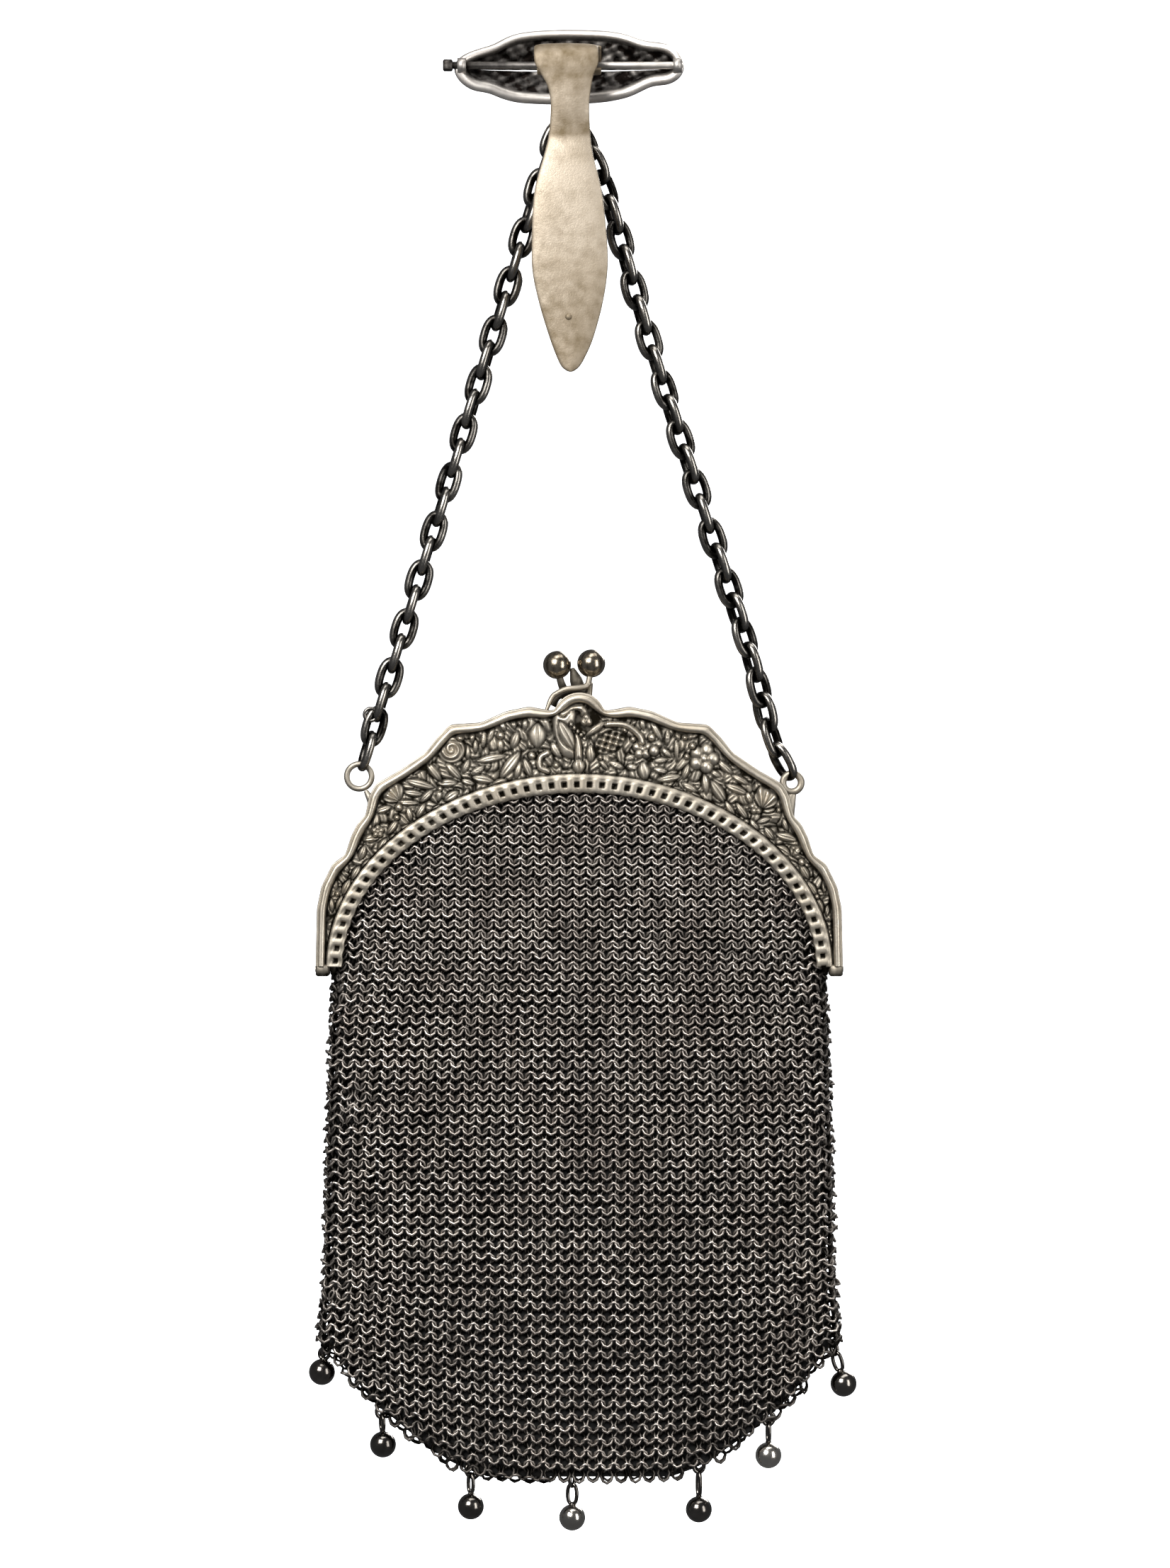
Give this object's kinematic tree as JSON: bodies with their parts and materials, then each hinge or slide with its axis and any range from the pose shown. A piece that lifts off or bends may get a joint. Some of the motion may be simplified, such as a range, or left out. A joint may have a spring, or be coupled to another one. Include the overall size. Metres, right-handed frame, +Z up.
{
  "type": "metal mesh purse with belt hook",
  "caption": "Arched metal mesh purse with an embossed hinged frame, kiss clasp, ball drops, two chain runs and a belt hook with a swinging tongue.",
  "frame": {"origin": "the seat under the arch of the belt hook's tongue, where the top edge of a belt sits", "axes": "+Z up, +X to the right and +Y away from someone who looks at the tongue"},
  "size_m": [0.1148, 0.0179, 0.3129],
  "materials": {
    "frame": "warm oxidised silver, dark in the recesses of the relief",
    "pins": "worn silver wire",
    "mesh": "dark oxidised silver ring mesh with bright wear on the crowns",
    "drops": "polished dark silver balls",
    "chain": "dark oxidised silver wire with bright wear",
    "plaque": "silver rim, dark textured hollow",
    "tongue": "warm matte silver, lightly stained"
  },
  "bodies": {
    "purse": {"frame_front": "frame", "frame_back": "frame", "hinge_pin_left": "pins", "hinge_pin_right": "pins", "mesh_bag": "mesh", "drop_1": "drops", "drop_2": "drops", "drop_3": "drops", "drop_4": "drops", "drop_5": "drops", "drop_6": "drops", "drop_7": "drops", "chain_left": "chain", "chain_right": "chain", "hanging_ring": "chain", "gather_ring": "chain", "hook_rod": "pins", "hook_plaque": "plaque"},
    "tongue": {"hook_tongue": "tongue"}
  },
  "joints": [
    {"name": "tongue_swing", "type": "hinge", "parent": "purse", "child": "tongue", "pos_m": [0, 0.0042, -0.0028], "axis": [-1, 0, 0], "range_deg": [0, 50]}
  ]
}
